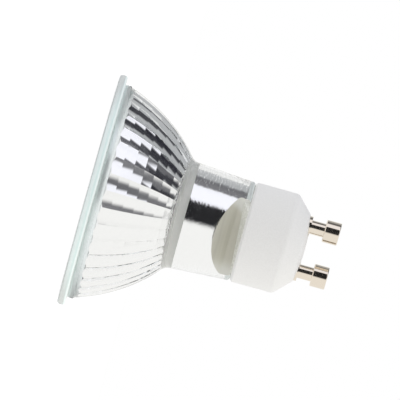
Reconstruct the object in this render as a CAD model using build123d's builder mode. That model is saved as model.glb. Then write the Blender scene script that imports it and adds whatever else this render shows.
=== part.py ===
from build123d import *
import math
import os

# Twist-lock halogen reflector lamp, in millimetres, standing on its front glass.
# Z is the lamp's axis, from the front glass at z = 0 up to the contact pins, which stand in line with X.

# Front glass and the adhesive bead that bonds it to the reflector
rim_r = 23.5
glass_overhang = 1.85
glass_t = 1.7
glass_edge_round = 0.6
bead_t = 0.2
bead_inset = 0.05

# Outside of the pressed-glass reflector
rim_h = 1.15
rim_step = 0.2
rim_edge_round = 0.25
bowl_h = 17.05
bowl_arc_r = 35.0
neck_shoulder_w = 2.6
neck_taper = 0.95
neck_h = 13.9
waist_round = 2.0
shoulder_round = 0.5

# Flats pressed into the rear of the neck
flat_shoulder_w = 1.35
flat_wall_t = 2.0
flat_h = 2.3
ramp_angle = 53.0
ramp_round = 1.0
inner_ramp_lead = 0.1

# Inside of the reflector: rings of facets that bulge towards the axis, a floor and the neck's bore
bowl_wall_t = 2.0
facet_columns = 36
facet_rows = 7
facet_front_inset = 1.1
facet_arc_ratio = 0.75
rim_lip = 0.1
floor_t = 3.3
floor_lap = 2.1
hole_gap = 3.5
neck_wall_t = 2.2
shoulder_t = 1.0

# Tongue behind the neck, which the cap holds
tongue_wall_t = 1.7
tongue_h = 7.0
base_cement_t = 0.4
joint_t = 0.15
joint_inset = 0.25
cement_bead_h = 1.3
cement_bead_thin_h = 0.25
cement_bead_slope = 1.3
cement_bead_l = 16.4

# Quartz capsule
capsule_r = 4.7
capsule_wall_t = 0.9
capsule_dome_r = 3.2
exhaust_tip_r = 1.0
exhaust_tip_h = 1.2
exhaust_tip_round = 0.8
pinch_w = 9.0
pinch_t = 3.2
pinch_h = 12.5
pinch_corner_r = 0.5
pinch_ramp_h = 4.0
pinch_ramp_lap = 0.6
pinch_reach = 4.5
capsule_cement_t = 2.0
capsule_cement_h = 4.9

# Filament and its wires
coil_r = 0.35
coil_bend_r = 0.5
filament_h = 8.5
filament_tail_h = 1.0
lead_r = 0.25
lead_spacing = 4.4
lead_reach = 4.5
lead_bend_r = 0.8
support_r = 0.2
support_y = 0.9
support_bend_r = 0.5
support_anchor_h = 2.5
hook_overrun = 0.5
hook_clear = 0.5
foil_w = 2.0
foil_t = 0.06
foil_h = 7.0
foil_weld_h = 1.5
foil_front_inset = 1.0
fuse_r = 0.75
fuse_h = 1.4
fuse_gap = 0.3

# Ceramic cap
cap_wall_t = 2.35
cap_front_chamfer = 0.45
cap_bevel_angle = 45.5
cap_corner_round = 1.2
cap_end_round = 0.8
cap_end_margin = 0.15
cap_crown_h = 0.8
pin_seat_wall_t = 2.5
chamber_h = 3.6
chamber_t = 7.0
chamber_gap = 0.3

# Contact pins
pin_spacing = 10.0
pin_head_r = 2.45
pin_head_h = 3.3
pin_shank_r = 1.5
pin_shank_h = 3.0
pin_collar_r = 2.25
pin_collar_h = 0.7
pin_tail_r = 1.4
pin_flange_r = 2.0
pin_flange_h = 0.4
pin_bore_r = 0.6
pin_edge_round = 0.2
pin_hole_gap = 0.05
pin_bend_gap = 0.8
solder_h = 1.1

# Clearance between bonded or sealed pieces
seat_gap = 0.02

# Sizes across the joint between capsule, reflector and cap
slot_w = pinch_w + 2 * capsule_cement_t
slot_t = pinch_t + 2 * capsule_cement_t
tongue_w = slot_w + 2 * tongue_wall_t
tongue_t = slot_t + 2 * tongue_wall_t
socket_w = tongue_w + 2 * base_cement_t
socket_t = tongue_t + 2 * base_cement_t
cap_r = socket_w / 2 + cap_wall_t
cap_end_r = pin_spacing / 2 + pin_collar_r + cap_end_margin
chamber_w = pin_spacing + 2 * (pin_flange_r + chamber_gap)
neck_rear_r = tongue_w / 2 + neck_shoulder_w
neck_front_r = neck_rear_r + neck_taper
flat_y = tongue_t / 2 + flat_shoulder_w

# Heights along the axis
rim_front_z = glass_t + bead_t
rim_back_z = rim_front_z + rim_h
neck_front_z = rim_back_z + bowl_h
neck_rear_z = neck_front_z + neck_h
tongue_end_z = neck_rear_z + tongue_h
floor_z = neck_front_z - floor_lap
bore_front_z = floor_z + floor_t
bore_end_z = neck_rear_z - shoulder_t
cap_front_z = neck_rear_z + joint_t
end_wall_z = tongue_end_z + chamber_h
pin_seat_z = end_wall_z + pin_seat_wall_t
cap_end_z = pin_seat_z + cap_crown_h
cap_bevel_z = pin_seat_z - (cap_r - cap_end_r) / math.tan(math.radians(cap_bevel_angle))
shank_z = pin_seat_z + pin_collar_h
head_z = shank_z + pin_shank_h
pin_end_z = head_z + pin_head_h
pinch_end_z = neck_rear_z + pinch_reach
pinch_front_z = pinch_end_z - pinch_h
bulb_back_z = pinch_front_z - pinch_ramp_h
lead_tip_z = bulb_back_z - lead_reach
apex_z = lead_tip_z - seat_gap - filament_h
half_v_angle = math.atan2(lead_spacing / 2, filament_h - filament_tail_h)
coil_low_z = apex_z + coil_bend_r * (1 / math.sin(half_v_angle) - 1)
hook_z = coil_low_z - coil_r - support_r - seat_gap
bulb_front_z = hook_z - support_r - hook_clear - capsule_wall_t
foil_front_z = pinch_front_z + foil_front_inset
foil_back_z = foil_front_z + foil_h
lead_x = lead_spacing / 2
pin_x = pin_spacing / 2

# The bowl's outline is an arc in the (r, z) plane, and its inside is the same arc moved in by the wall
bowl_front = Vector(rim_r - rim_step, rim_back_z)
bowl_rear = Vector(neck_front_r, neck_front_z)
chord = bowl_rear - bowl_front
inward = Vector(-chord.Y, chord.X).normalized()
centre_distance = math.sqrt(bowl_arc_r**2 - (chord.length / 2) ** 2)
bowl_centre = (bowl_front + bowl_rear) / 2 + inward * centre_distance
inner_arc_r = bowl_arc_r - bowl_wall_t


def inner_angle(z):
    """Angle along the bowl's inner arc at that height."""
    return math.asin((z - bowl_centre.Y) / inner_arc_r)


# The facets' corners lie on rings that divide the inner arc evenly
facet_front_z = rim_front_z + facet_front_inset
front_angle = inner_angle(facet_front_z)
row_angle = (inner_angle(floor_z) - front_angle) / facet_rows
rings = []
for i in range(facet_rows + 1):
    angle = front_angle + i * row_angle
    ring_r = bowl_centre.X + inner_arc_r * math.cos(angle)
    ring_z = bowl_centre.Y + inner_arc_r * math.sin(angle)
    rings.append((ring_r, ring_z))
column_angle = 360 / facet_columns

# The straight bore of the rim just clears the middles of the first ring's sides
front_ring_r = rings[0][0]
half_column = math.radians(column_angle / 2)
facet_arc_r = facet_arc_ratio * front_ring_r
facet_rise = facet_arc_r - math.sqrt(facet_arc_r**2 - (front_ring_r * math.sin(half_column)) ** 2)
rim_bore_r = front_ring_r * math.cos(half_column) - facet_rise - rim_lip

os.makedirs("parts", exist_ok=True)

# Front glass, a flat disc with a rounded edge
with BuildPart() as front_glass:
    Cylinder(rim_r + glass_overhang, glass_t, align=(Align.CENTER, Align.CENTER, Align.MIN))
    fillet(front_glass.edges(), glass_edge_round)
front_glass.part.label = "front_glass"
export_step(front_glass.part, "parts/front_glass.step")

# Adhesive bead between the front glass and the rim
with BuildPart() as lens_adhesive:
    with BuildSketch(Plane.XY.offset(glass_t)):
        Circle(rim_r - bead_inset)
        Circle(rim_bore_r + bead_inset, mode=Mode.SUBTRACT)
    extrude(amount=bead_t)
lens_adhesive.part.label = "lens_adhesive"
export_step(lens_adhesive.part, "parts/lens_adhesive.step")

# Faceted hollow of the bowl: rings of bulged sides joined by ruled facets, kept within the rim's bore
with BuildPart() as facet_core:
    for ring_r, ring_z in rings:
        corners = [Vector(ring_r, 0).rotate(Axis.Z, (i + 0.5) * column_angle) for i in range(facet_columns)]
        with BuildSketch(Plane.XY.offset(ring_z)):
            with BuildLine():
                for start, end in zip(corners, corners[1:] + corners[:1]):
                    RadiusArc(start, end, facet_arc_ratio * ring_r)
            make_face()
    loft(ruled=True)
    with BuildSketch(Plane.XY.offset(facet_front_z)):
        Circle(rim_bore_r)
    extrude(amount=floor_z - facet_front_z, mode=Mode.INTERSECT)

# Hollow of the neck: a tapered bore that narrows behind the flats
ramp_tan = math.tan(math.radians(ramp_angle))
ramp_end_z = neck_rear_z - flat_h
ramp_out_y = neck_front_r + neck_wall_t
ramp_out_z = ramp_end_z - (ramp_out_y - flat_y) / ramp_tan
inner_flat_y = flat_y - flat_wall_t
inner_ramp_end_z = ramp_end_z - inner_ramp_lead
inner_ramp_out_z = inner_ramp_end_z - (neck_front_r - inner_flat_y) / ramp_tan
bore_taper = neck_taper / neck_h
bore_front_r = neck_front_r - neck_wall_t - bore_taper * (bore_front_z - neck_front_z)
bore_end_r = neck_front_r - neck_wall_t - bore_taper * (bore_end_z - neck_front_z)
with BuildPart() as neck_core:
    with BuildSketch(Plane.YZ):
        with BuildLine():
            half_outline = Polyline(
                (0, bore_front_z),
                (neck_front_r, bore_front_z),
                (neck_front_r, inner_ramp_out_z),
                (inner_flat_y, inner_ramp_end_z),
                (inner_flat_y, bore_end_z),
                (0, bore_end_z),
            )
            mirror(half_outline, about=Plane.YZ)
        make_face()
    extrude(amount=neck_front_r, both=True)
    with BuildSketch(Plane.XZ):
        with BuildLine():
            Polyline(
                (0, bore_front_z),
                (bore_front_r, bore_front_z),
                (bore_end_r, bore_end_z),
                (0, bore_end_z),
                close=True,
            )
        make_face()
    revolve(axis=Axis.Z, mode=Mode.INTERSECT)

# Pressed-glass reflector
with BuildPart() as reflector:
    with BuildSketch(Plane.XZ) as outside:
        with BuildLine():
            RadiusArc(bowl_front, bowl_rear, -bowl_arc_r)
            Polyline(
                bowl_rear,
                (neck_rear_r, neck_rear_z),
                (0, neck_rear_z),
                (0, rim_front_z),
                (rim_r, rim_front_z),
                (rim_r, rim_back_z),
                bowl_front,
            )
        make_face()
        fillet(outside.vertices().sort_by_distance(bowl_rear)[0], waist_round)
        fillet(outside.vertices().sort_by_distance((neck_rear_r, neck_rear_z))[0], shoulder_round)
        fillet(outside.vertices().sort_by_distance((rim_r, rim_front_z))[0], rim_edge_round)
    revolve(axis=Axis.Z)
    for side in (1, -1):
        with BuildSketch(Plane.YZ) as flat_cut:
            with BuildLine():
                Polyline(
                    (side * flat_y, neck_rear_z),
                    (side * flat_y, ramp_end_z),
                    (side * ramp_out_y, ramp_out_z),
                    (side * ramp_out_y, neck_rear_z),
                    close=True,
                )
            make_face()
            fillet(flat_cut.vertices().sort_by_distance((side * flat_y, ramp_end_z))[0], ramp_round)
        extrude(amount=neck_front_r, both=True, mode=Mode.SUBTRACT)
    with BuildSketch(Plane.XY.offset(neck_rear_z)):
        SlotOverall(tongue_w, tongue_t)
    extrude(amount=tongue_h)
    with BuildSketch(Plane.XY.offset(rim_front_z)):
        Circle(rim_bore_r)
    extrude(amount=facet_front_inset, mode=Mode.SUBTRACT)
    add(facet_core.part, mode=Mode.SUBTRACT)
    with BuildSketch(Plane.XY.offset(floor_z)):
        Circle(capsule_r + hole_gap)
    extrude(amount=floor_t, mode=Mode.SUBTRACT)
    add(neck_core.part, mode=Mode.SUBTRACT)
    with BuildSketch(Plane.XY.offset(bore_end_z)):
        SlotOverall(slot_w, slot_t)
    extrude(amount=tongue_end_z - bore_end_z, mode=Mode.SUBTRACT)
reflector.part.label = "reflector"
export_step(reflector.part, "parts/reflector.step")

# Ceramic cap: a round cup with a bevelled, slightly crowned end, a slotted socket, a wiring chamber,
# and two pin holes whose outer ends are spot-faced for the pins' collars
cap_crown_r = (cap_end_r**2 + cap_crown_h**2) / (2 * cap_crown_h)
with BuildPart() as ceramic_base:
    with BuildSketch(Plane.XZ) as cap_profile:
        with BuildLine():
            Polyline(
                (0, cap_end_z),
                (0, cap_front_z),
                (cap_r - cap_front_chamfer, cap_front_z),
                (cap_r, cap_front_z + cap_front_chamfer),
                (cap_r, cap_bevel_z),
                (cap_end_r, pin_seat_z),
            )
            RadiusArc((cap_end_r, pin_seat_z), (0, cap_end_z), -cap_crown_r)
        make_face()
        fillet(cap_profile.vertices().sort_by_distance((cap_r, cap_bevel_z))[0], cap_corner_round)
        fillet(cap_profile.vertices().sort_by_distance((cap_end_r, pin_seat_z))[0], cap_end_round)
    revolve(axis=Axis.Z)
    with BuildSketch(Plane.XY.offset(cap_front_z)):
        SlotOverall(socket_w, socket_t)
    extrude(amount=tongue_end_z - cap_front_z, mode=Mode.SUBTRACT)
    with BuildSketch(Plane.XY.offset(tongue_end_z)):
        SlotOverall(chamber_w, chamber_t)
    extrude(amount=chamber_h, mode=Mode.SUBTRACT)
    with BuildSketch(Plane.XY.offset(end_wall_z)):
        with GridLocations(pin_spacing, 0, 2, 1):
            Circle(pin_tail_r + pin_hole_gap)
    extrude(amount=pin_seat_wall_t, mode=Mode.SUBTRACT)
    with BuildSketch(Plane.XY.offset(pin_seat_z)):
        with GridLocations(pin_spacing, 0, 2, 1):
            Circle(pin_collar_r + pin_hole_gap)
    extrude(amount=cap_crown_h, mode=Mode.SUBTRACT)
ceramic_base.part.label = "ceramic_base"
export_step(ceramic_base.part, "parts/ceramic_base.step")

# Cement between the tongue and the cap's socket, with a round joint at the cap's mouth and, within it,
# a bead on each flat that thins from left to right
joint_r = cap_r - cap_front_chamfer - joint_inset
bead_ends = ((-cement_bead_l / 2, cement_bead_h), (cement_bead_l / 2, cement_bead_thin_h))
with BuildPart() as base_cement:
    with BuildSketch(Plane.XY.offset(neck_rear_z)):
        SlotOverall(socket_w - 2 * seat_gap, socket_t - 2 * seat_gap)
    extrude(amount=tongue_h)
    with BuildSketch(Plane.XY.offset(neck_rear_z)):
        Circle(joint_r)
    extrude(amount=joint_t)
    for side in (1, -1):
        for bead_x, bead_h in bead_ends:
            with BuildSketch(Plane.YZ.offset(bead_x)):
                with BuildLine():
                    Polyline(
                        (side * flat_y, neck_rear_z - bead_h),
                        (side * flat_y, neck_rear_z),
                        (side * (flat_y + bead_h * cement_bead_slope), neck_rear_z),
                        close=True,
                    )
                make_face()
        loft()
    with BuildSketch(Plane.XY.offset(neck_rear_z - cement_bead_h)):
        Circle(joint_r)
    extrude(amount=cement_bead_h + tongue_h, mode=Mode.INTERSECT)
    with BuildSketch(Plane.XY.offset(neck_rear_z)):
        SlotOverall(tongue_w + 2 * seat_gap, tongue_t + 2 * seat_gap)
    extrude(amount=tongue_h, mode=Mode.SUBTRACT)
base_cement.part.label = "base_cement"
export_step(base_cement.part, "parts/base_cement.step")

# Cement between the pinch and the neck's slot
with BuildPart() as capsule_cement:
    with BuildSketch(Plane.XY.offset(bore_end_z)):
        SlotOverall(slot_w - 2 * seat_gap, slot_t - 2 * seat_gap)
        RectangleRounded(pinch_w + 2 * seat_gap, pinch_t + 2 * seat_gap, pinch_corner_r, mode=Mode.SUBTRACT)
    extrude(amount=capsule_cement_h)
capsule_cement.part.label = "capsule_cement"
export_step(capsule_cement.part, "parts/capsule_cement.step")

# Quartz capsule: a domed tube with an exhaust tip, flattened into the pinch that seals the wires
foil_y = -(lead_r + seat_gap + foil_t / 2)
with BuildPart() as capsule_envelope:
    with BuildSketch(Plane.XZ) as bulb_outside:
        with BuildLine():
            Polyline(
                (0, bulb_front_z - exhaust_tip_h),
                (exhaust_tip_r, bulb_front_z - exhaust_tip_h),
                (exhaust_tip_r, bulb_front_z),
                (capsule_r, bulb_front_z),
                (capsule_r, bulb_back_z),
                (0, bulb_back_z),
                close=True,
            )
        make_face()
        fillet(bulb_outside.vertices().sort_by_distance((capsule_r, bulb_front_z))[0], capsule_dome_r)
        tip_corner = (exhaust_tip_r, bulb_front_z - exhaust_tip_h)
        fillet(bulb_outside.vertices().sort_by_distance(tip_corner)[0], exhaust_tip_round)
    revolve(axis=Axis.Z)
    with BuildSketch(Plane.XY.offset(bulb_back_z)):
        Circle(capsule_r)
    with BuildSketch(Plane.XY.offset(pinch_front_z)):
        Ellipse(pinch_w / 2 - pinch_corner_r, pinch_t / 2)
    loft()
    with BuildSketch(Plane.XY.offset(pinch_front_z - pinch_ramp_lap)):
        RectangleRounded(pinch_w, pinch_t, pinch_corner_r)
    extrude(amount=pinch_h + pinch_ramp_lap)
    with BuildSketch(Plane.XZ) as bulb_inside:
        with BuildLine():
            Polyline(
                (0, bulb_front_z + capsule_wall_t),
                (capsule_r - capsule_wall_t, bulb_front_z + capsule_wall_t),
                (capsule_r - capsule_wall_t, bulb_back_z),
                (0, bulb_back_z),
                close=True,
            )
        make_face()
        inner_corners = bulb_inside.vertices().sort_by(Axis.X)[-2:]
        fillet(inner_corners, capsule_dome_r - capsule_wall_t)
    revolve(axis=Axis.Z, mode=Mode.SUBTRACT)
    with BuildSketch(Plane.XY.offset(lead_tip_z)):
        with GridLocations(lead_spacing, 0, 2, 1):
            Circle(lead_r + seat_gap)
    extrude(amount=pinch_end_z - lead_tip_z, mode=Mode.SUBTRACT)
    with BuildSketch(Plane.XY.offset(foil_front_z - seat_gap)):
        with Locations((lead_x, foil_y), (-lead_x, foil_y)):
            Rectangle(foil_w + 2 * seat_gap, foil_t + 2 * seat_gap)
    extrude(amount=foil_h + 2 * seat_gap, mode=Mode.SUBTRACT)
    with BuildSketch(Plane.XY.offset(hook_z)):
        with Locations((0, support_y)):
            Circle(support_r + seat_gap)
    extrude(amount=bulb_back_z + support_anchor_h + seat_gap - hook_z, mode=Mode.SUBTRACT)
capsule_envelope.part.label = "capsule_envelope"
export_step(capsule_envelope.part, "parts/capsule_envelope.step")

# Filament: the envelope of its fine coil, hung in a V between the two inner leads
tail_z = lead_tip_z - seat_gap - filament_tail_h
with BuildPart() as filament:
    with BuildLine(Plane.XZ) as coil_path:
        FilletPolyline(
            (-lead_x, lead_tip_z - seat_gap),
            (-lead_x, tail_z),
            (0, apex_z),
            (lead_x, tail_z),
            (lead_x, lead_tip_z - seat_gap),
            radius=coil_bend_r,
        )
    with BuildSketch(Plane(coil_path.line @ 0, z_dir=coil_path.line % 0)):
        Circle(coil_r)
    sweep(path=coil_path.line)
filament.part.label = "filament"
export_step(filament.part, "parts/filament.step")

# Support wire, anchored in the root of the pinch and hooked under the bend of the V
with BuildPart() as filament_support:
    with BuildLine(Plane.YZ) as support_path:
        FilletPolyline(
            (support_y, bulb_back_z + support_anchor_h),
            (support_y, hook_z),
            (-hook_overrun, hook_z),
            radius=support_bend_r,
        )
    with BuildSketch(Plane(support_path.line @ 0, z_dir=support_path.line % 0)):
        Circle(support_r)
    sweep(path=support_path.line)
filament_support.part.label = "filament_support"
export_step(filament_support.part, "parts/filament_support.step")

# Pieces that come in pairs, one at each pin
bend_front_z = pinch_end_z + fuse_h + 2 * fuse_gap
bend_back_z = end_wall_z - pin_flange_h - pin_bend_gap
outer_lead_z = foil_back_z - foil_weld_h
for hand, side in (("left", -1), ("right", 1)):
    with BuildPart() as inner_lead:
        with BuildSketch(Plane.XY.offset(lead_tip_z)):
            with Locations((side * lead_x, 0)):
                Circle(lead_r)
        extrude(amount=foil_front_z + foil_weld_h - lead_tip_z)
    inner_lead.part.label = f"inner_lead_{hand}"
    export_step(inner_lead.part, f"parts/inner_lead_{hand}.step")

    with BuildPart() as foil:
        with BuildSketch(Plane.XY.offset(foil_front_z)):
            with Locations((side * lead_x, foil_y)):
                Rectangle(foil_w, foil_t)
        extrude(amount=foil_h)
    foil.part.label = f"foil_{hand}"
    export_step(foil.part, f"parts/foil_{hand}.step")

    with BuildPart() as outer_lead:
        with BuildLine(Plane.XZ) as lead_path:
            FilletPolyline(
                (side * lead_x, outer_lead_z),
                (side * lead_x, bend_front_z),
                (side * pin_x, bend_back_z),
                (side * pin_x, pin_end_z - solder_h - seat_gap),
                radius=lead_bend_r,
            )
        with BuildSketch(Plane(lead_path.line @ 0, z_dir=lead_path.line % 0)):
            Circle(lead_r)
        sweep(path=lead_path.line)
    outer_lead.part.label = f"outer_lead_{hand}"
    export_step(outer_lead.part, f"parts/outer_lead_{hand}.step")

    # Hollow pin: its collar stands in the cap's spot face and its tail is flanged over inside the chamber
    with BuildPart() as contact_pin:
        pin_axis = Axis((side * pin_x, 0, 0), (0, 0, 1))
        with BuildSketch(Plane((side * pin_x, 0, 0), x_dir=(1, 0, 0), z_dir=(0, -1, 0))):
            with BuildLine():
                Polyline(
                    (pin_bore_r, end_wall_z - pin_flange_h),
                    (pin_flange_r, end_wall_z - pin_flange_h),
                    (pin_flange_r, end_wall_z),
                    (pin_tail_r, end_wall_z),
                    (pin_tail_r, pin_seat_z),
                    (pin_collar_r, pin_seat_z),
                    (pin_collar_r, shank_z),
                    (pin_shank_r, shank_z),
                    (pin_shank_r, head_z),
                    (pin_head_r, head_z),
                    (pin_head_r, pin_end_z),
                    (pin_bore_r, pin_end_z),
                    close=True,
                )
            make_face()
        revolve(axis=pin_axis)
        circles = contact_pin.edges().filter_by(GeomType.CIRCLE)
        fillet(circles.filter_by(lambda edge: abs(edge.radius - pin_head_r) < seat_gap), pin_edge_round)
    contact_pin.part.label = f"contact_pin_{hand}"
    export_step(contact_pin.part, f"parts/contact_pin_{hand}.step")

    with BuildPart() as solder_plug:
        with BuildSketch(Plane.XY.offset(pin_end_z - solder_h)):
            with Locations((side * pin_x, 0)):
                Circle(pin_bore_r - seat_gap)
        extrude(amount=solder_h)
    solder_plug.part.label = f"solder_plug_{hand}"
    export_step(solder_plug.part, f"parts/solder_plug_{hand}.step")

# Fuse bead, a glass tube on the right-hand outer lead
with BuildPart() as fuse:
    with BuildSketch(Plane.XY.offset(pinch_end_z + fuse_gap)):
        with Locations((lead_x, 0)):
            Circle(fuse_r)
            Circle(lead_r + seat_gap, mode=Mode.SUBTRACT)
    extrude(amount=fuse_h)
fuse.part.label = "fuse"
export_step(fuse.part, "parts/fuse.step")
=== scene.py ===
import math
from collections import namedtuple

import bmesh
import bpy
from mathutils import Matrix, Vector


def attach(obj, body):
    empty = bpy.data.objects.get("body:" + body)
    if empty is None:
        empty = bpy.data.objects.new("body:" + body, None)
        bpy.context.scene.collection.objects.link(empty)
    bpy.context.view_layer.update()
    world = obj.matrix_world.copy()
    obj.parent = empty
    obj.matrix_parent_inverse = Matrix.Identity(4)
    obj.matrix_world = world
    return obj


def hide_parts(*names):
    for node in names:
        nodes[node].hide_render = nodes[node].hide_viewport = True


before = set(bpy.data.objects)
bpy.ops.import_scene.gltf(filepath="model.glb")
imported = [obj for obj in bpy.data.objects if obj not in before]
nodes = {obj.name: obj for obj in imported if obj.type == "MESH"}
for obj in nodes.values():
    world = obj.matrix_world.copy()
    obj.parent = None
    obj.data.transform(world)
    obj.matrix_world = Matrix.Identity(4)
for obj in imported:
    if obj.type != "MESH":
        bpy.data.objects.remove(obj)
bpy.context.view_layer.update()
scene = bpy.context.scene
scene.view_settings.view_transform = "Standard"

# Light meets many faces of glass and mirror before it leaves the lamp
GLASS_BOUNCES, MATTE_BOUNCES = 32, 16
scene.cycles.max_bounces = GLASS_BOUNCES
scene.cycles.diffuse_bounces = MATTE_BOUNCES
scene.cycles.glossy_bounces = GLASS_BOUNCES
scene.cycles.transmission_bounces = GLASS_BOUNCES

MM = 0.001

# View of the photograph: it looks square on to the lamp's axis, which slopes down to the right
PINS_TURN = math.radians(13.0)
AXIS_SLOPE = math.radians(15.6)
VIEW_WIDTH = 85.3 * MM
VIEW_DISTANCE = 3.0
VIEW_CENTRE_Z = 23.5 * MM
VIEW_CENTRE_UP = 4.05 * MM
SENSOR_WIDTH = 36.0

TO_CAMERA = Vector((-math.sin(PINS_TURN), -math.cos(PINS_TURN), 0))
LAMP_AXIS = Vector((0, 0, 1))
PICTURE_UP = TO_CAMERA.cross(LAMP_AXIS)

# Sizes of the glass, in millimetres from the lamp's axis and its front
RIM_FRONT_Z, RIM_BACK_Z = 1.9, 3.05
RIM_R, RIM_STEP, RIM_ROUND, RIM_LIP = 23.5, 0.2, 0.25, 0.1
BOWL_ARC_R, BOWL_WALL = 35.0, 2.0
NECK_FRONT_R, NECK_FRONT_Z = 11.75, 20.1
NECK_REAR_R, NECK_REAR_Z = 10.8, 34.0
NECK_WALL = 2.2
WAIST_ROUND, SHOULDER_ROUND = 2.0, 0.5
FLAT_Y, FLAT_FRONT_Z, FLAT_WALL, INNER_RAMP_LEAD = 6.65, 31.7, 2.0, 0.1
RAMP_ANGLE, RAMP_ROUND = math.radians(53.0), 1.0
FACET_COLUMNS, FACET_ROWS, FACET_FRONT_Z, FACET_ARC_RATIO = 36, 7, 3.0, 0.75
FLOOR_Z, BORE_FRONT_Z, HOLE_R = 18.0, 21.3, 8.2
BORE_END_Z, TONGUE_END_Z = 33.0, 41.0
TONGUE_SIZE, SLOT_SIZE = (16.4, 10.6), (13.0, 7.2)
GLASS_R, GLASS_THICKNESS, GLASS_ROUND = 25.35, 1.7, 0.6

# Strips of mesh along each stretch of the glass, and round the front glass
RIM_STRIPS, BOWL_STRIPS, WAIST_STRIPS, NECK_STRIPS = 5, 48, 10, 14
RAMP_STRIPS, RAMP_ROUND_STRIPS, SHOULDER_STRIPS, BORE_STRIPS = 14, 8, 6, 14
GLASS_ROUND_STRIPS, GLASS_SEGMENTS = 6, 256
CLOSER_AT_THE_TIP = 2.0
WELD_DISTANCE = 1e-7

# Coil of the filament, in millimetres: its path is a V with a rounded bend and two upright tails
COIL_R, COIL_WIRE_R, COIL_PITCH, COIL_BEND_R = 0.35, 0.05, 0.17, 0.5
COIL_POINTS_PER_TURN, LEAST_BEND_POINTS = 14, 4
COIL_TOP_Z, COIL_TAIL_Z, COIL_APEX_Z, COIL_X = 17.48, 16.48, 8.98, 2.2

# How far the grains of a noise stretch along x, y and z
EVEN, ALONG_X = (1, 1, 1), (12, 1, 1)
ROUND_THE_AXIS, ALONG_THE_AXIS = (20, 20, 1), (1, 1, 20)
# Most of a noise lies between these values
NOISE_LOW, NOISE_HIGH = 0.3, 0.7


# Short ways to add nodes to a tree
def feed(tree, socket, value):
    """Links a socket to another one, or sets its value."""
    if isinstance(value, bpy.types.NodeSocket):
        tree.links.new(value, socket)
    else:
        socket.default_value = value


def calc(tree, operation, *values):
    node = tree.nodes.new("ShaderNodeMath")
    node.operation = operation
    for socket, value in zip(node.inputs, values):
        feed(tree, socket, value)
    return node.outputs[0]


def dot(tree, vector, axis):
    node = tree.nodes.new("ShaderNodeVectorMath")
    node.operation = "DOT_PRODUCT"
    feed(tree, node.inputs[0], vector)
    node.inputs[1].default_value = axis
    return node.outputs["Value"]


def step(tree, value, low, high, start=0.0, end=1.0):
    """A smooth change from start to end as the value goes from low to high."""
    node = tree.nodes.new("ShaderNodeMapRange")
    node.interpolation_type = "SMOOTHSTEP"
    for socket, given in zip(node.inputs, (value, low, high, start, end)):
        feed(tree, socket, given)
    return node.outputs["Result"]


def mix(tree, factor, first, second):
    """A colour between the first, at factor 0, and the second, at factor 1."""
    node = tree.nodes.new("ShaderNodeMix")
    node.data_type = "RGBA"
    feed(tree, node.inputs["Factor"], factor)
    colours = [socket for socket in node.inputs if socket.type == "RGBA"]
    for socket, colour in zip(colours, (first, second)):
        feed(tree, socket, colour if isinstance(colour, bpy.types.NodeSocket) else (*colour, 1.0))
    return next(socket for socket in node.outputs if socket.type == "RGBA")


def ramp(tree, value, stops):
    """A colour that goes from stop to stop, each a value and its colour."""
    first, last = stops[0][0], stops[-1][0]
    node = tree.nodes.new("ShaderNodeValToRGB")
    share = calc(tree, "DIVIDE", calc(tree, "SUBTRACT", value, first), last - first)
    feed(tree, node.inputs["Fac"], share)
    elements = node.color_ramp.elements
    for place, colour in stops[1:-1]:
        elements.new((place - first) / (last - first)).color = (*colour, 1.0)
    elements[0].color = (*stops[0][1], 1.0)
    elements[-1].color = (*stops[-1][1], 1.0)
    return node.outputs["Color"]


def noise(tree, size, detail=2.0, stretch=EVEN):
    """Noise with grains of that size in millimetres, times the stretch along x, y and z."""
    place = tree.nodes.new("ShaderNodeTexCoord").outputs["Object"]
    scaled = tree.nodes.new("ShaderNodeVectorMath")
    scaled.operation = "MULTIPLY"
    feed(tree, scaled.inputs[0], place)
    scaled.inputs[1].default_value = [1 / (size * MM * share) for share in stretch]
    node = tree.nodes.new("ShaderNodeTexNoise")
    node.inputs["Scale"].default_value = 1.0
    node.inputs["Detail"].default_value = detail
    feed(tree, node.inputs["Vector"], scaled.outputs["Vector"])
    return node.outputs["Fac"]


def along(tree, axis):
    """Place along an axis, in millimetres."""
    place = tree.nodes.new("ShaderNodeTexCoord").outputs["Object"]
    return dot(tree, place, [share / MM for share in axis])


def bump(tree, shader, pattern, depth):
    """Bumps of that depth in millimetres."""
    node = tree.nodes.new("ShaderNodeBump")
    node.inputs["Distance"].default_value = depth * MM
    feed(tree, node.inputs["Height"], pattern)
    feed(tree, shader.inputs["Normal"], node.outputs["Normal"])


def node_material(name, **inputs):
    """A new material, its node tree and its Principled shader, with the inputs that are the same all
    over it."""
    material = bpy.data.materials.new(name)
    material.use_nodes = True
    shader = material.node_tree.nodes["Principled BSDF"]
    for key, value in inputs.items():
        shader.inputs[key.replace("_", " ")].default_value = value
    return material, material.node_tree, shader


# Clear glass
GLASS_IOR = 1.5
GLASS_CLOUD_SIZE, GLASS_WAVE_SIZE = 6.0, 3.0


def glass_material(name, dark, light, wave_depth):
    """Clear glass whose surface is faintly uneven."""
    material, tree, shader = node_material(name, Transmission_Weight=1.0, Roughness=0.0, IOR=GLASS_IOR)
    feed(tree, shader.inputs["Base Color"], mix(tree, noise(tree, GLASS_CLOUD_SIZE), dark, light))
    bump(tree, shader, noise(tree, GLASS_WAVE_SIZE), wave_depth)
    return material


def tint(material, depth_colour, density):
    """Makes the tint of a piece of glass deepen with the light's way in it."""
    tree = material.node_tree
    depth = tree.nodes.new("ShaderNodeVolumeAbsorption")
    depth.inputs["Color"].default_value = (*depth_colour, 1.0)
    depth.inputs["Density"].default_value = density
    tree.links.new(depth.outputs["Volume"], tree.nodes["Material Output"].inputs["Volume"])


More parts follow.
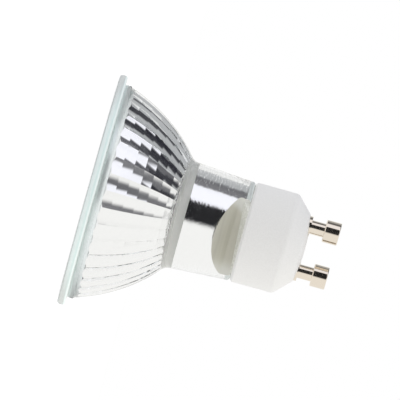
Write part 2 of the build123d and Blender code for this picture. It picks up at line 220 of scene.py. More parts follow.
# Ground edges of the glass, with heights in millimetres from the lamp's front
EDGE_CLOUD_SIZE, EDGE_CLOUD_RANGE, EDGE_CLOUD_SHARE = 2.5, (0.3, 0.8), 0.2
# The grey tone, the facing over which it comes in and the heights where it ends are painted shade on the
# edge where it turns away
EDGE_CLOUD_TONE, EDGE_PAINTED_SHADE_TONE = (0.88, 0.97, 0.96), (0.6, 0.62, 0.61)
EDGE_PAINTED_SHADE_FACING, EDGE_PAINTED_SHADE_END_Z, EDGE_CLEAR_Z = (0.14, 0.68), (1.1, 1.5), (1.9, 2.5)
EDGE_GRAIN_SIZE, EDGE_GRAIN_DEPTH = 0.2, 0.004
# Tones by height of the front glass's edge: its mint tint, lifted towards white by painted light on the
# front and rear rounds, which the floor and the rim shade
LENS_TINT_AND_PAINTED_LIGHT = (
    (0.3, (0.87, 0.96, 0.965)),
    (0.75, (0.86, 0.95, 0.95)),
    (1.1, (0.765, 0.92, 0.91)),
    (1.25, (0.765, 0.92, 0.91)),
    (1.5, (0.9, 1.0, 0.985)),
)
# Tones by height of the rim: its tint, lifted near white by painted light where the front glass's overhang
# shades it
RIM_TINT_AND_PAINTED_LIGHT = (
    (1.9, (0.9, 1.0, 0.99)),
    (2.35, (0.9, 1.0, 0.985)),
    (3.0, (0.93, 1.0, 0.99)),
)


def ground_edge_material(name, tint_and_painted_light, painted_shade, clear):
    """Ground glass with tones by height, partly its tint and partly painted light; how far painted shade
    greys its front part where it turns away; and how clear it is in its rear part."""
    material, tree, shader = node_material(name, Roughness=0.4, IOR=GLASS_IOR)
    z = along(tree, LAMP_AXIS)
    clouds = noise(tree, EDGE_CLOUD_SIZE, detail=3.0)
    cloudy = step(tree, clouds, *EDGE_CLOUD_RANGE, 0.0, EDGE_CLOUD_SHARE)
    # The tones by height are partly the glass's tint and partly painted light
    tone_and_painted_light = mix(tree, cloudy, ramp(tree, z, tint_and_painted_light), EDGE_CLOUD_TONE)
    # Painted shade: the base colour turns grey in the front part where the edge faces away from the view
    facing = tree.nodes.new("ShaderNodeLayerWeight").outputs["Facing"]
    turned_away = step(tree, facing, *EDGE_PAINTED_SHADE_FACING, 0.0, painted_shade)
    in_front = step(tree, z, *EDGE_PAINTED_SHADE_END_Z, 1.0, 0.0)
    painted_shade_share = calc(tree, "MULTIPLY", turned_away, in_front)
    feed(tree, shader.inputs["Base Color"], mix(tree, painted_shade_share, tone_and_painted_light, EDGE_PAINTED_SHADE_TONE))
    feed(tree, shader.inputs["Transmission Weight"], step(tree, z, *EDGE_CLEAR_Z, 0.0, clear))
    bump(tree, shader, noise(tree, EDGE_GRAIN_SIZE, detail=3.0), EDGE_GRAIN_DEPTH)
    return material


# Ground ramps and flats of the neck, with places in millimetres
# Painted light: between these heights the ground glass turns paler towards the round and the flat, to offset
# the shade that falls on them
FLAT_PAINTED_LIGHT_Z = (29.4, 30.8)
FLAT_DARK, FLAT_DARK_WITH_PAINTED_LIGHT = (0.465, 0.455, 0.395), (0.535, 0.525, 0.455)
FLAT_LIGHT, FLAT_LIGHT_WITH_PAINTED_LIGHT = (0.5, 0.495, 0.43), (0.56, 0.55, 0.48)
STREAK_SIZE, STREAK_DEPTH = 0.7, 0.015
FILM_TONE = (0.7, 0.71, 0.675)
# Each film of cement: the direction in which its place is read, where it starts and is full, and how thick
FILMS = (
    # On the left, more of it towards the rear
    ((-1, 0, 0.8), 30.8, 32.6, 0.85),
    # On the right
    ((1, 0, 0), 4.5, 8.0, 0.7),
    # Towards the ramp's tip
    ((0, 0, 1), 29.0, 28.0, 0.3),
)


def ground_flat_material():
    """Ground glass, streaked along X and made paler towards the rear by painted light, with a film of cement
    in places.
    """
    material, tree, shader = node_material("ground_flat", Roughness=0.45)
    painted_light_share = step(tree, along(tree, LAMP_AXIS), *FLAT_PAINTED_LIGHT_Z)
    streaks = noise(tree, STREAK_SIZE, detail=5.0, stretch=ALONG_X)
    # Painted light makes the streaks paler on the round and the flat behind the ramp
    dark = mix(tree, painted_light_share, FLAT_DARK, FLAT_DARK_WITH_PAINTED_LIGHT)
    light = mix(tree, painted_light_share, FLAT_LIGHT, FLAT_LIGHT_WITH_PAINTED_LIGHT)
    glass = mix(tree, step(tree, streaks, NOISE_LOW, NOISE_HIGH), dark, light)
    film = 0.0
    for axis, start, full, share in FILMS:
        film = calc(tree, "MAXIMUM", film, step(tree, along(tree, axis), start, full, 0.0, share))
    feed(tree, shader.inputs["Base Color"], mix(tree, film, glass, FILM_TONE))
    bump(tree, shader, streaks, STREAK_DEPTH)
    return material


# Mirrors
MIRROR_DARK, MIRROR_LIGHT = (0.95, 0.955, 0.96), (0.985, 0.985, 0.99)
MIRROR_GRAIN_SIZE, MIRROR_ROUGHNESS = 0.5, (0.02, 0.05)


def mirror_material(name, wave_size, wave_depth, stretch):
    """Vapour-coated aluminium, seen through the glass that carries it."""
    material, tree, shader = node_material(name, Metallic=1.0)
    grain = noise(tree, MIRROR_GRAIN_SIZE, detail=4.0)
    feed(tree, shader.inputs["Base Color"], mix(tree, grain, MIRROR_DARK, MIRROR_LIGHT))
    feed(tree, shader.inputs["Roughness"], step(tree, grain, NOISE_LOW, NOISE_HIGH, *MIRROR_ROUGHNESS))
    bump(tree, shader, noise(tree, wave_size, detail=3.0, stretch=stretch), wave_depth)
    return material


# Matte pieces and bare metal, whose roughness varies by these shares of what is given
MATTE_SMOOTHER = 0.85
METAL_SMOOTHER, METAL_ROUGHER = 0.7, 1.3


def matte_material(name, dark, light, grain_size, grain_depth, roughness):
    """A rough mineral surface with mottled colour."""
    material, tree, shader = node_material(name)
    grain = noise(tree, grain_size, detail=5.0)
    feed(tree, shader.inputs["Base Color"], mix(tree, step(tree, grain, NOISE_LOW, NOISE_HIGH), dark, light))
    rough = step(tree, grain, NOISE_LOW, NOISE_HIGH, roughness, roughness * MATTE_SMOOTHER)
    feed(tree, shader.inputs["Roughness"], rough)
    bump(tree, shader, grain, grain_depth)
    return material


def metal_material(name, dark, light, roughness, line_size, line_depth, stretch):
    """Bare or plated metal with fine drawn or turned lines."""
    material, tree, shader = node_material(name, Metallic=1.0)
    lines = noise(tree, line_size, detail=3.0, stretch=stretch)
    feed(tree, shader.inputs["Base Color"], mix(tree, lines, dark, light))
    smooth, rough = roughness * METAL_SMOOTHER, roughness * METAL_ROUGHER
    feed(tree, shader.inputs["Roughness"], step(tree, lines, NOISE_LOW, NOISE_HIGH, smooth, rough))
    bump(tree, shader, lines, line_depth)
    return material


# Finishes, with sizes and depths in millimetres
front_glass = glass_material(
    "front_glass", (0.95, 0.985, 0.97), (0.975, 0.99, 0.985), wave_depth=0.0005
)
tint(front_glass, (0.55, 0.86, 0.77), density=10.0)
pressed_glass = glass_material(
    "pressed_glass", (0.965, 0.975, 0.97), (0.985, 0.99, 0.985), wave_depth=0.0005
)
lens_edge = ground_edge_material("lens_edge", LENS_TINT_AND_PAINTED_LIGHT, painted_shade=0.8, clear=0.0)
rim_edge = ground_edge_material("rim_edge", RIM_TINT_AND_PAINTED_LIGHT, painted_shade=0.0, clear=0.9)
shoulder_edge = ground_edge_material("shoulder_edge", RIM_TINT_AND_PAINTED_LIGHT, painted_shade=0.0, clear=0.45)
ground_flat = ground_flat_material()
mirror = mirror_material("mirror", wave_size=0.8, wave_depth=0.001, stretch=EVEN)
bore_mirror = mirror_material("bore_mirror", wave_size=0.4, wave_depth=0.02, stretch=(3, 3, 1))
bare_web = matte_material(
    "bare_web", (0.96, 0.97, 0.95), (0.98, 0.98, 0.96),
    grain_size=1.2, grain_depth=0.02, roughness=0.6,
)
cement = matte_material(
    "cement", (0.66, 0.67, 0.62), (0.85, 0.86, 0.82),
    grain_size=0.35, grain_depth=0.08, roughness=0.9,
)
ceramic = matte_material(
    "ceramic", (0.79, 0.79, 0.785), (0.83, 0.83, 0.825),
    grain_size=0.25, grain_depth=0.012, roughness=0.65,
)
nickel = metal_material(
    "nickel", (0.8, 0.72, 0.61), (0.87, 0.8, 0.7),
    roughness=0.045, line_size=0.05, line_depth=0.0003, stretch=ROUND_THE_AXIS,
)
tungsten = metal_material(
    "tungsten", (0.34, 0.34, 0.36), (0.5, 0.5, 0.52),
    roughness=0.4, line_size=0.04, line_depth=0.002, stretch=ALONG_THE_AXIS,
)
molybdenum = metal_material(
    "molybdenum", (0.5, 0.5, 0.52), (0.62, 0.62, 0.64),
    roughness=0.25, line_size=0.05, line_depth=0.001, stretch=ALONG_THE_AXIS,
)
lead_wire = metal_material(
    "lead_wire", (0.6, 0.58, 0.55), (0.72, 0.7, 0.67),
    roughness=0.3, line_size=0.04, line_depth=0.002, stretch=ALONG_THE_AXIS,
)
solder = metal_material(
    "solder", (0.6, 0.6, 0.62), (0.74, 0.74, 0.76),
    roughness=0.3, line_size=0.3, line_depth=0.03, stretch=EVEN,
)
quartz = glass_material("quartz", (0.97, 0.975, 0.98), (0.99, 0.99, 0.995), wave_depth=0.002)
fuse_glass = glass_material("fuse_glass", (0.82, 0.9, 0.85), (0.9, 0.95, 0.92), wave_depth=0.004)
adhesive = matte_material(
    "adhesive", (0.88, 0.97, 0.95), (0.93, 0.98, 0.97),
    grain_size=0.5, grain_depth=0.005, roughness=0.4,
)

# The reflector's surface is a closed stack of rings, each with the same columns, at angles in degrees
GLASS, MIRROR, BORE, WEB, GROUND, RIM, SHOULDER = range(7)
FACET_OFFSETS = (-5, -4.7, -4, -3, -2, -1, 0, 1, 2, 3, 4, 4.7)
FACET_ANGLE = 360 / FACET_COLUMNS
CREASE_ANGLE, SAME_ANGLE = 40.0, 1e-6
columns = [FACET_ANGLE * k + offset for k in range(FACET_COLUMNS) for offset in FACET_OFFSETS]

# A ring's points, the surfaces of the round and the flatted part of the strip that follows it, and whether
# the ring itself, and in that strip the flats' creases and the facets' sides, are sharp lines
Ring = namedtuple("Ring", "points round_part flat_part sharp crease facets")


def folded(angle):
    """The angle in degrees folded into the first quadrant, and the signs of x and y."""
    turn = angle % 360
    if turn <= 90:
        return turn, 1, 1
    if turn <= 180:
        return 180 - turn, -1, 1
    if turn <= 270:
        return turn - 180, -1, -1
    return 360 - turn, 1, -1


def ring_from(outline, z):
    """A ring at that height whose first quadrant is outline(angle) -> (x, y)."""
    points = []
    for column in columns:
        angle, sign_x, sign_y = folded(column)
        x, y = outline(angle)
        points.append((sign_x * x, sign_y * y, z))
    return points


def circle_ring(r, z):
    return ring_from(lambda a: (r * math.cos(math.radians(a)), r * math.sin(math.radians(a))), z)


def flatted_ring(r, half_width, z, gather=1.0):
    """A circle cut by flats at y = +-half_width, with the crease on a fixed column.
    Where there is no flat, gather says how far the columns have closed up towards its place."""
    crease = math.asin(min(1.0, half_width / r))

    def outline(angle):
        if half_width >= r:
            closed = 90 * min(1.0, angle / CREASE_ANGLE)
            turn = math.radians((1 - gather) * angle + gather * closed)
            return r * math.cos(turn), r * math.sin(turn)
        if angle <= CREASE_ANGLE:
            turn = crease * angle / CREASE_ANGLE
            return r * math.cos(turn), r * math.sin(turn)
        share = (angle - CREASE_ANGLE) / (90 - CREASE_ANGLE)
        return r * math.cos(crease) * (1 - share), half_width

    return ring_from(outline, z)


def slot_ring(size, z):
    """A slot with round ends, its tangent points on the crease's columns."""
    width, height = size
    end_r = height / 2
    straight = (width - height) / 2

    def outline(angle):
        if angle <= CREASE_ANGLE:
            turn = math.radians(90 * angle / CREASE_ANGLE)
            return straight + end_r * math.cos(turn), end_r * math.sin(turn)
        share = (angle - CREASE_ANGLE) / (90 - CREASE_ANGLE)
        return straight * (1 - share), end_r

    return ring_from(outline, z)


# Outline of a ring of facets of radius 1: arcs that bulge towards the axis between the columns' corners
half_facet = math.radians(FACET_ANGLE / 2)
arc_centre = math.cos(half_facet) + math.sqrt(FACET_ARC_RATIO**2 - math.sin(half_facet) ** 2)


def facet_radius(column):
    offset = math.radians((column + FACET_ANGLE / 2) % FACET_ANGLE - FACET_ANGLE / 2)
    return arc_centre * math.cos(offset) - math.sqrt(
        FACET_ARC_RATIO**2 - (arc_centre * math.sin(offset)) ** 2
    )


def facet_ring(r, z):
    points = []
    for column in columns:
        turn = math.radians(column)
        reach = r * facet_radius(column)
        points.append((reach * math.cos(turn), reach * math.sin(turn), z))
    return points


# Profile of the bowl's outside: an arc that ends in the fillet of the waist
bowl_front = Vector((RIM_R - RIM_STEP, RIM_BACK_Z))
bowl_rear = Vector((NECK_FRONT_R, NECK_FRONT_Z))
chord = bowl_rear - bowl_front
inward = Vector((-chord.y, chord.x)).normalized()
bowl_centre = (bowl_front + bowl_rear) / 2 + inward * math.sqrt(BOWL_ARC_R**2 - (chord.length / 2) ** 2)
neck_line = (Vector((NECK_REAR_R, NECK_REAR_Z)) - bowl_rear).normalized()
neck_normal = Vector((neck_line.y, -neck_line.x))


def neck_radius(z):
    return NECK_FRONT_R - (z - NECK_FRONT_Z) * (NECK_FRONT_R - NECK_REAR_R) / (NECK_REAR_Z - NECK_FRONT_Z)


def fillet_centre(corner, line, normal, round_r):
    """Centre of the fillet between the bowl's arc and a line that starts at the corner."""
    start = corner + normal * round_r - bowl_centre
    ahead = start.dot(line)
    reach = BOWL_ARC_R + round_r
    return bowl_centre + start + line * (-ahead + math.sqrt(ahead**2 - start.length_squared + reach**2))


def arc_points(centre, radius, start, end, count):
    """Points on an arc in the (r, z) plane, from the start angle to the end angle."""
    turns = [start + (end - start) * i / count for i in range(count + 1)]
    return [(centre.x + radius * math.cos(t), centre.y + radius * math.sin(t)) for t in turns]


waist_centre = fillet_centre(bowl_rear, neck_line, neck_normal, WAIST_ROUND)
to_waist = waist_centre - bowl_centre
bowl_start_angle = math.atan2(bowl_front.y - bowl_centre.y, bowl_front.x - bowl_centre.x)
waist_angle = math.atan2(to_waist.y, to_waist.x)
bowl_profile = arc_points(bowl_centre, BOWL_ARC_R, bowl_start_angle, waist_angle, BOWL_STRIPS)
waist_end_angle = math.atan2(-neck_normal.y, -neck_normal.x) + 2 * math.pi
waist_profile = arc_points(waist_centre, WAIST_ROUND, waist_angle + math.pi, waist_end_angle, WAIST_STRIPS)

# Corners of the facets on the bowl's inner arc, and the rim's bore that just clears the first ring of facets
inner_arc_r = BOWL_ARC_R - BOWL_WALL
facet_front_angle = math.asin((FACET_FRONT_Z - bowl_centre.y) / inner_arc_r)
floor_angle = math.asin((FLOOR_Z - bowl_centre.y) / inner_arc_r)
facet_corners = arc_points(bowl_centre, inner_arc_r, facet_front_angle, floor_angle, FACET_ROWS)
rim_bore_r = facet_corners[0][0] * facet_radius(0) - RIM_LIP

# Outer ramps and flats, with a round between them, and the bore's own ramps and flats
ramp_tan = math.tan(RAMP_ANGLE)
round_reach = RAMP_ROUND * math.tan(RAMP_ANGLE / 2)
ramp_end_z = FLAT_FRONT_Z - round_reach * math.cos(RAMP_ANGLE)
round_end_z = FLAT_FRONT_Z + round_reach
inner_flat_y = FLAT_Y - FLAT_WALL
inner_flat_z = FLAT_FRONT_Z - INNER_RAMP_LEAD


def flat_half_width(z):
    """Distance of the outer ramp or flat from the axis at that height."""
    if z >= round_end_z:
        return FLAT_Y
    if z > ramp_end_z:
        return FLAT_Y + RAMP_ROUND - math.sqrt(RAMP_ROUND**2 - (round_end_z - z) ** 2)
    return FLAT_Y + (FLAT_FRONT_Z - z) * ramp_tan


def bore_radius(z):
    return neck_radius(z) - NECK_WALL


def bore_half_width(z):
    """Distance of the bore's ramp or flat from the axis at that height."""
    return inner_flat_y + max(0.0, inner_flat_z - z) * ramp_tan


def tip_height(radius, half_width, low, high, halvings=40):
    """Height at which a ramp first cuts into the round, by halving."""
    for _ in range(halvings):
        middle = (low + high) / 2
        if half_width(middle) > radius(middle):
            low = middle
        else:
            high = middle
    return high


def spread(start, end, count, power=1.0):
    """Heights from start to end, closer together near the start where power is over 1."""
    return [start + (end - start) * (i / count) ** power for i in range(count + 1)]


def reflector_rings():
    """The rings round the glass, from the rim over the outside and back through the bore and the bowl."""
    rings = []

    def add(points, round_part=GLASS, flat_part=None, sharp=False, crease=False, facets=False):
        if flat_part is None:
            flat_part = round_part
        rings.append(Ring(points, round_part, flat_part, sharp, crease, facets))

    # Rim, from its bore round the front edge to the step
    add(circle_ring(rim_bore_r, RIM_FRONT_Z), sharp=True)
    rim_round_centre = Vector((RIM_R - RIM_ROUND, RIM_FRONT_Z + RIM_ROUND))
    for r, z in arc_points(rim_round_centre, RIM_ROUND, -math.pi / 2, 0, RIM_STRIPS):
        add(circle_ring(r, z), RIM)
    add(circle_ring(RIM_R, RIM_BACK_Z), RIM, sharp=True)
    # Bowl and waist
    for i, (r, z) in enumerate(bowl_profile):
        add(circle_ring(r, z), sharp=i == 0)
    for r, z in waist_profile[1:]:
        add(circle_ring(r, z))
    # Neck up to the tips of the half-moons, where the columns close up, and on along the ramps and flats
    waist_end_z = waist_profile[-1][1]
    tip_z = tip_height(neck_radius, flat_half_width, waist_end_z, FLAT_FRONT_Z)
    for i, z in enumerate(spread(waist_end_z, tip_z, NECK_STRIPS)[1:], 1):
        at_tip = i == NECK_STRIPS
        points = flatted_ring(neck_radius(z), neck_radius(z), z, i / NECK_STRIPS)
        add(points, GLASS, GROUND if at_tip else GLASS, crease=at_tip)
    ramp_heights = spread(tip_z, ramp_end_z, RAMP_STRIPS, CLOSER_AT_THE_TIP)[1:]
    round_heights = spread(ramp_end_z, round_end_z, RAMP_ROUND_STRIPS)[1:]
    for z in ramp_heights + round_heights:
        add(flatted_ring(neck_radius(z), flat_half_width(z), z), GLASS, GROUND, crease=True)
    # Shoulder
    add(flatted_ring(neck_radius(BORE_END_Z), FLAT_Y, BORE_END_Z), SHOULDER, GROUND, crease=True)
    shoulder_start_z = NECK_REAR_Z - SHOULDER_ROUND
    for i, turn in enumerate(spread(0, math.pi / 2, SHOULDER_STRIPS)):
        at_end = i == SHOULDER_STRIPS
        r = neck_radius(shoulder_start_z) - SHOULDER_ROUND * (1 - math.cos(turn))
        z = shoulder_start_z + SHOULDER_ROUND * math.sin(turn)
        flat_part = SHOULDER if at_end else GROUND
        add(flatted_ring(r, FLAT_Y, z), SHOULDER, flat_part, sharp=at_end, crease=not at_end)
    # Tongue and its slot
    add(slot_ring(TONGUE_SIZE, NECK_REAR_Z), sharp=True)
    add(slot_ring(TONGUE_SIZE, TONGUE_END_Z), sharp=True)
    add(slot_ring(SLOT_SIZE, TONGUE_END_Z), WEB, sharp=True)
    add(slot_ring(SLOT_SIZE, BORE_END_Z), WEB, sharp=True)
    # Bore, from its end down to the floor
    inner_tip_z = tip_height(bore_radius, bore_half_width, BORE_FRONT_Z, inner_flat_z)
    inner_ramp_heights = spread(inner_tip_z, inner_flat_z, RAMP_STRIPS, CLOSER_AT_THE_TIP)[:0:-1]
    for i, z in enumerate([BORE_END_Z] + inner_ramp_heights):
        add(flatted_ring(bore_radius(z), bore_half_width(z), z), BORE, sharp=i == 0, crease=True)
    for i, z in enumerate(spread(inner_tip_z, BORE_FRONT_Z, BORE_STRIPS)):
        at_end = i == BORE_STRIPS
        points = flatted_ring(bore_radius(z), bore_radius(z), z, 1 - i / BORE_STRIPS)
        add(points, WEB if at_end else BORE, sharp=at_end)
    add(circle_ring(HOLE_R, BORE_FRONT_Z), WEB, sharp=True)
    add(circle_ring(HOLE_R, FLOOR_Z), WEB, sharp=True)
    # Facets, from the floor to the rim's bore
    for r, z in facet_corners[:0:-1]:
        add(facet_ring(r, z), MIRROR, sharp=True, facets=True)
    (front_r, front_z), (next_r, next_z) = facet_corners[:2]
    scallops = []
    for column in columns:
        reach = facet_radius(column)
        share = (front_r * reach - rim_bore_r) / ((front_r - next_r) * reach)
        turn = math.radians(column)
        z = front_z + (next_z - front_z) * share
        scallops.append((rim_bore_r * math.cos(turn), rim_bore_r * math.sin(turn), z))
    add(scallops, MIRROR, sharp=True)
    return rings


def new_object(name, data):
    obj = bpy.data.objects.new(name, data)
    scene.collection.objects.link(obj)
    return obj


def mesh_object(name, bm, materials):
    """An object with the finished mesh, welded where rings meet in a point or coincide."""
    bmesh.ops.remove_doubles(bm, verts=bm.verts, dist=WELD_DISTANCE)
    mesh = bpy.data.meshes.new(name)
    for material in materials:
        mesh.materials.append(material)
    bm.to_mesh(mesh)
    bm.free()
    return new_object(name, mesh)


def ring_mesh(name, rings, materials):
    """A closed mesh through the rings, the last joined to the first, with its sharp lines marked."""
    bm = bmesh.new()
    grid = [[bm.verts.new((x * MM, y * MM, z * MM)) for x, y, z in ring.points] for ring in rings]
    count = len(columns)
    next_columns = columns[1:] + [columns[0] + 360]
    on_flat = [folded((a + b) / 2)[0] > CREASE_ANGLE for a, b in zip(columns, next_columns)]
    on_crease = [abs(folded(column)[0] - CREASE_ANGLE) < SAME_ANGLE for column in columns]
    for i, ring in enumerate(rings):
        low, high = grid[i], grid[(i + 1) % len(rings)]
        for j in range(count):
            k = (j + 1) % count
            face = bm.faces.new((low[j], low[k], high[k], high[j]))
            face.material_index = ring.flat_part if on_flat[j] else ring.round_part
            face.smooth = True
        for j in range(count):
            if ring.sharp:
                bm.edges.get((low[j], low[(j + 1) % count])).smooth = False
            on_facet_side = j % len(FACET_OFFSETS) == 0
            if (ring.crease and on_crease[j]) or (ring.facets and on_facet_side):
                bm.edges.get((low[j], high[j])).smooth = False
    return mesh_object(name, bm, materials)


def disc_mesh(name, profile, face_material, edge_material):
    """A solid of revolution from an (r, z) profile from axis to axis, whose first and last strips are
    its faces."""
    bm = bmesh.new()
    turns = [2 * math.pi * j / GLASS_SEGMENTS for j in range(GLASS_SEGMENTS)]
    grid = []
    for r, z in profile:
        grid.append([bm.verts.new((r * MM * math.cos(t), r * MM * math.sin(t), z * MM)) for t in turns])
    for i, (low, high) in enumerate(zip(grid, grid[1:])):
        for j in range(GLASS_SEGMENTS):
            k = (j + 1) % GLASS_SEGMENTS
            face = bm.faces.new((low[j], low[k], high[k], high[j]))
            face.material_index = 1 if 0 < i < len(profile) - 2 else 0
            face.smooth = True
    return mesh_object(name, bm, [face_material, edge_material])


# Reflector, with its surfaces in the order of their numbers
surfaces = [pressed_glass, mirror, bore_mirror, bare_web, ground_flat, rim_edge, shoulder_edge]
reflector = ring_mesh("reflector_glass", reflector_rings(), surfaces)
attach(reflector, "root")
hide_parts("reflector")

# Front glass
edge_low = Vector((GLASS_R - GLASS_ROUND, GLASS_ROUND))
edge_high = Vector((GLASS_R - GLASS_ROUND, GLASS_THICKNESS - GLASS_ROUND))
disc_profile = [(0, 0)]
disc_profile += arc_points(edge_low, GLASS_ROUND, -math.pi / 2, 0, GLASS_ROUND_STRIPS)
disc_profile += arc_points(edge_high, GLASS_ROUND, 0, math.pi / 2, GLASS_ROUND_STRIPS)
disc_profile.append((0, GLASS_THICKNESS))
disc = disc_mesh("front_disc", disc_profile, front_glass, lens_edge)
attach(disc, "root")
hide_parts("front_glass")


# Filament
def rounded_path(corners, round_r, spacing):
    """Points along straight runs in the (x, z) plane whose inner corners are rounded."""
    points = [corners[0]]
    for before, corner, after in zip(corners, corners[1:], corners[2:]):
        back, ahead = (before - corner).normalized(), (after - corner).normalized()
        half = back.angle(ahead) / 2
        centre = corner + (back + ahead).normalized() * round_r / math.sin(half)
        start = corner + back * round_r / math.tan(half) - centre
        turn = start.angle_signed(corner + ahead * round_r / math.tan(half) - centre)
        count = max(LEAST_BEND_POINTS, round(abs(turn) * round_r / spacing))
        points += [centre + Matrix.Rotation(-turn * i / count, 2) @ start for i in range(count + 1)]
    return points + [corners[-1]]


def coil_points():
    """The wire's own line: a helix round the filament's path."""
    corners = [
        Vector((-COIL_X, COIL_TOP_Z - COIL_WIRE_R)),
        Vector((-COIL_X, COIL_TAIL_Z)),
        Vector((0, COIL_APEX_Z)),
        Vector((COIL_X, COIL_TAIL_Z)),
        Vector((COIL_X, COIL_TOP_Z - COIL_WIRE_R)),
    ]
    spacing = COIL_PITCH / COIL_POINTS_PER_TURN
    path = rounded_path(corners, COIL_BEND_R, spacing)
    helix_r = COIL_R - COIL_WIRE_R
    points = []
    travelled = 0.0
    for start, end in zip(path, path[1:]):
        run = end - start
        heading = run.normalized()
        count = max(1, round(run.length / spacing))
        for i in range(count):
            turn = 2 * math.pi * travelled / COIL_PITCH
            side = helix_r * math.cos(turn)
            place = start + run * i / count + Vector((-heading.y, heading.x)) * side
            points.append((place.x * MM, helix_r * math.sin(turn) * MM, place.y * MM))
            travelled += run.length / count
    return points


coil = bpy.data.curves.new("filament_coil", "CURVE")
coil.dimensions = "3D"
coil.bevel_depth = COIL_WIRE_R * MM
coil.bevel_resolution = 1
coil.use_fill_caps = True
coil.materials.append(tungsten)
wire = coil.splines.new("POLY")
wire_points = coil_points()
wire.points.add(len(wire_points) - 1)
for point, place in zip(wire.points, wire_points):
    point.co = (*place, 1.0)
filament = new_object("filament_coil", coil)
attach(filament, "root")
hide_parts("filament")

# Finish of the pieces that keep their solids
for material, names in (
    (ceramic, ["ceramic_base"]),
    (cement, ["base_cement", "capsule_cement"]),
    (nickel, ["contact_pin_left", "contact_pin_right"]),
    (adhesive, ["lens_adhesive"]),
    (quartz, ["capsule_envelope"]),
    (fuse_glass, ["fuse"]),
    (tungsten, ["filament_support", "inner_lead_left", "inner_lead_right"]),
    (molybdenum, ["foil_left", "foil_right"]),
    (lead_wire, ["outer_lead_left", "outer_lead_right"]),
    (solder, ["solder_plug_left", "solder_plug_right"]),
):
    for name in names:
        nodes[name].data.materials.clear()
        nodes[name].data.materials.append(material)

# Studio round the lamp, at angles in degrees. Turn is the angle about the lamp's axis, from 0 towards the
# camera to 90 up the picture, and rise is the angle up from the floor, with 90 along the axis. A card is
# a colour and the edges inside which it covers the directions. Each edge is (turn's share, rise's share,
# offset, softness): inside is where the shares and the offset add up above 0.
TABLE_WHITE = (0.945, 0.937, 0.918)
CARDS = (
    # Dim room behind the camera and over the lamp
    (
        (0.155, 0.155, 0.165),
        (
            (1, 0, 7, 16),
            (1, -0.5, 21, 11),
            (0.25, -1, 66, 12),
            (0, -1, 80, 6),
            (-0.5, -1, 133, 5),
            (-1, 0, 140, 6),
        ),
    ),
    # Its darker side
    ((0.026, 0.026, 0.034), ((1, 0, -87, 4), (-1, 0.5, 108, 5), (0, 1, -16, 8), (0, -1, 67, 6))),
    # Black camera
    ((0.022, 0.022, 0.024), ((1, 0, 9, 7), (-1, 0, 47, 3), (0, -1, 24, 9))),
    # Grey wall
    ((0.46, 0.47, 0.48), ((1, -0.22, -115, 6), (-1, 1.5, 145, 5), (0, -1, 52, 5))),
    # Soft box
    (
        (1.005, 1.005, 1.07),
        (
            (1, 0.69, -47, 3),
            (-1, 0.25, 85, 4),
            (-1, -0.5, 107, 4),
            (0, -1, 58, 4),
            (0.6, -1, 26, 5),
        ),
    ),
)
# Soft light of the whole room on matte surfaces: from below and above in the picture, and from its front
SOFT_BELOW, SOFT_ABOVE = (1.36, 1.335, 1.27), (0.92, 0.935, 1.0)
SOFT_FRONT, SOFT_FRONT_RANGE = (0.71, 0.7, 0.675), (0.2, 1.0)
NO_MATTE_BOUNCE = 0.5
BACKGROUND_WHITE = (1.0, 1.0, 1.0)
world = bpy.data.worlds.new("studio")
scene.world = world
world.use_nodes = True
tree = world.node_tree
direction = tree.nodes.new("ShaderNodeTexCoord").outputs["Generated"]
upward = dot(tree, direction, PICTURE_UP)
frontward = dot(tree, direction, TO_CAMERA)
turn = calc(tree, "DEGREES", calc(tree, "ARCTAN2", upward, frontward))
rise = calc(tree, "DEGREES", calc(tree, "ARCSINE", dot(tree, direction, LAMP_AXIS)))
studio = TABLE_WHITE
for colour, edges in CARDS:
    cover = 1.0
    for turn_share, rise_share, offset, softness in edges:
        place = calc(tree, "MULTIPLY_ADD", rise, rise_share, offset)
        place = calc(tree, "MULTIPLY_ADD", turn, turn_share, place)
        cover = calc(tree, "MULTIPLY", cover, step(tree, place, -softness, softness))
    studio = mix(tree, cover, studio, colour)
light_path = tree.nodes.new("ShaderNodeLightPath")
soft_light = mix(tree, step(tree, upward, -1.0, 1.0), SOFT_BELOW, SOFT_ABOVE)
soft_light = mix(tree, step(tree, frontward, *SOFT_FRONT_RANGE), soft_light, SOFT_FRONT)
on_matte = calc(tree, "GREATER_THAN", light_path.outputs["Diffuse Depth"], NO_MATTE_BOUNCE)
studio = mix(tree, on_matte, studio, soft_light)
seen = mix(tree, light_path.outputs["Is Camera Ray"], studio, BACKGROUND_WHITE)
feed(tree, tree.nodes["Background"].inputs["Color"], seen)

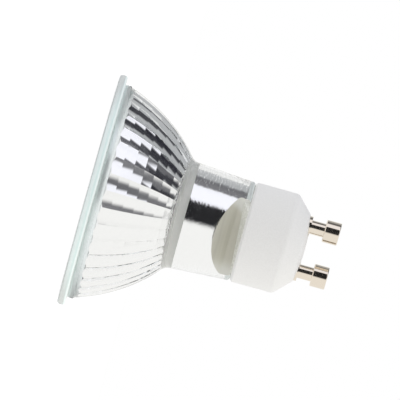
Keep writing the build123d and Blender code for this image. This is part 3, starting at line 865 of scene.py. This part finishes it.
# Floor, white to the camera and in the glass and the mirrors, with a faint shadow of the lamp on it
FLOOR_HALF, FLOOR_DROP = 4.0, 0.2 * MM
FLOOR_GLOW, MIRRORED_FLOOR_GLOW = 0.9, 0.83
FLOOR_DULL, FLOOR_WHITE, FLOOR_SHADE = (0.88, 0.88, 0.88), (0.9, 0.9, 0.9), (0.12, 0.12, 0.12)
FLOOR_CLOUD_SIZE = 40.0
floor_mesh = bpy.data.meshes.new("floor")
corners = [(x * FLOOR_HALF, y * FLOOR_HALF, 0) for x, y in ((-1, -1), (1, -1), (1, 1), (-1, 1))]
floor_mesh.from_pydata(corners, [], [(0, 1, 2, 3)])
floor = new_object("floor", floor_mesh)
floor.location.z = -FLOOR_DROP
floor_material, tree, shader = node_material("floor", Roughness=0.9, Emission_Color=(1, 1, 1, 1))
light_path = tree.nodes.new("ShaderNodeLightPath")
to_camera = light_path.outputs["Is Camera Ray"]
in_metal, in_glass = light_path.outputs["Is Glossy Ray"], light_path.outputs["Is Transmission Ray"]
mirrored = calc(tree, "MAXIMUM", in_metal, in_glass)
seen = calc(tree, "MAXIMUM", mirrored, to_camera)
glow = calc(tree, "MULTIPLY", to_camera, FLOOR_GLOW)
glow = calc(tree, "MAXIMUM", glow, calc(tree, "MULTIPLY", mirrored, MIRRORED_FLOOR_GLOW))
feed(tree, shader.inputs["Emission Strength"], glow)
plain = mix(tree, noise(tree, FLOOR_CLOUD_SIZE), FLOOR_DULL, FLOOR_WHITE)
feed(tree, shader.inputs["Base Color"], mix(tree, seen, plain, FLOOR_SHADE))
floor_mesh.materials.append(floor_material)

# Camera
camera_data = bpy.data.cameras.new("camera")
camera_data.sensor_width = SENSOR_WIDTH
camera_data.lens = SENSOR_WIDTH * VIEW_DISTANCE / VIEW_WIDTH
camera = new_object("camera", camera_data)
right = LAMP_AXIS * math.cos(AXIS_SLOPE) + PICTURE_UP * math.sin(AXIS_SLOPE)
up = PICTURE_UP * math.cos(AXIS_SLOPE) - LAMP_AXIS * math.sin(AXIS_SLOPE)
camera.matrix_world = Matrix((right, up, TO_CAMERA)).transposed().to_4x4()
camera.location = LAMP_AXIS * VIEW_CENTRE_Z + PICTURE_UP * VIEW_CENTRE_UP + TO_CAMERA * VIEW_DISTANCE
scene.camera = camera
